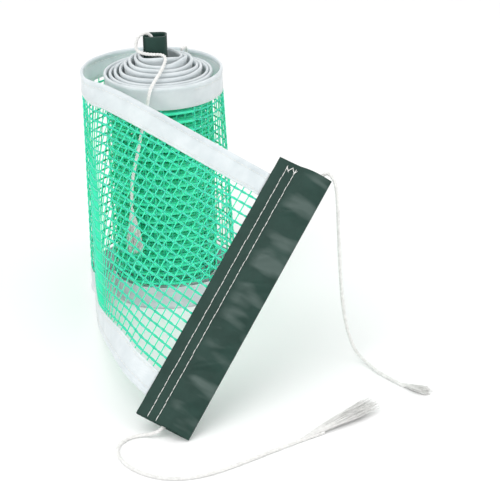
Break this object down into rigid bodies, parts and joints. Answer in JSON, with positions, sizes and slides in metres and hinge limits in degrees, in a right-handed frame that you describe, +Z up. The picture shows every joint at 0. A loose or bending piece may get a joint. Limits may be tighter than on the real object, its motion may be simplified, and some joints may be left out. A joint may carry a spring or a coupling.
{
  "type": "table tennis net",
  "caption": "Rolled table tennis net standing on edge, with white tapes, a fabric pocket at each end, hem cords and its free end leaning in front.",
  "frame": {"origin": "on the floor, under the middle of the footprint, cords left out", "axes": "+Z up, along the roll's axis; -Y towards the viewer, where the free end leans; +X to the viewer's right"},
  "size_m": [0.2041, 0.3084, 0.1786],
  "materials": {
    "net_mesh": "knotted synthetic twine mesh, spring green",
    "tape": "woven cotton binding tape, white",
    "sleeve": "dark green coated woven fabric with a slight sheen",
    "thread": "white sewing thread",
    "cord": "twisted cotton cord, off white"
  },
  "bodies": {
    "roll": {"net_mesh_roll": "net_mesh", "top_tape_roll": "tape", "bottom_tape_roll": "tape", "top_hem_cord_roll": "tape", "bottom_hem_cord_roll": "tape", "core_sleeve_outer": "sleeve", "core_sleeve_inner": "sleeve", "core_sleeve_stitching": "thread", "core_top_cord": "cord", "core_top_tassel": "cord", "core_cord_tail": "cord"},
    "free_end": {"net_mesh_bend": "net_mesh", "net_mesh_panel": "net_mesh", "net_end_band": "tape", "top_tape_free": "tape", "bottom_tape_free": "tape", "top_hem_cord_free": "tape", "bottom_hem_cord_free": "tape", "end_sleeve_front": "sleeve", "end_sleeve_back": "sleeve", "end_sleeve_stitch_row_1": "thread", "end_sleeve_stitch_row_2": "thread", "end_top_cord": "cord", "end_top_tuft": "cord", "end_bottom_cord": "cord", "end_bottom_tassel": "cord"}
  },
  "joints": [
    {"name": "free_end_swing", "type": "hinge", "parent": "roll", "child": "free_end", "pos_m": [-0.07311, 0.07219, 0.076], "axis": [0, 0, 1], "range_deg": [-70, 0]}
  ]
}
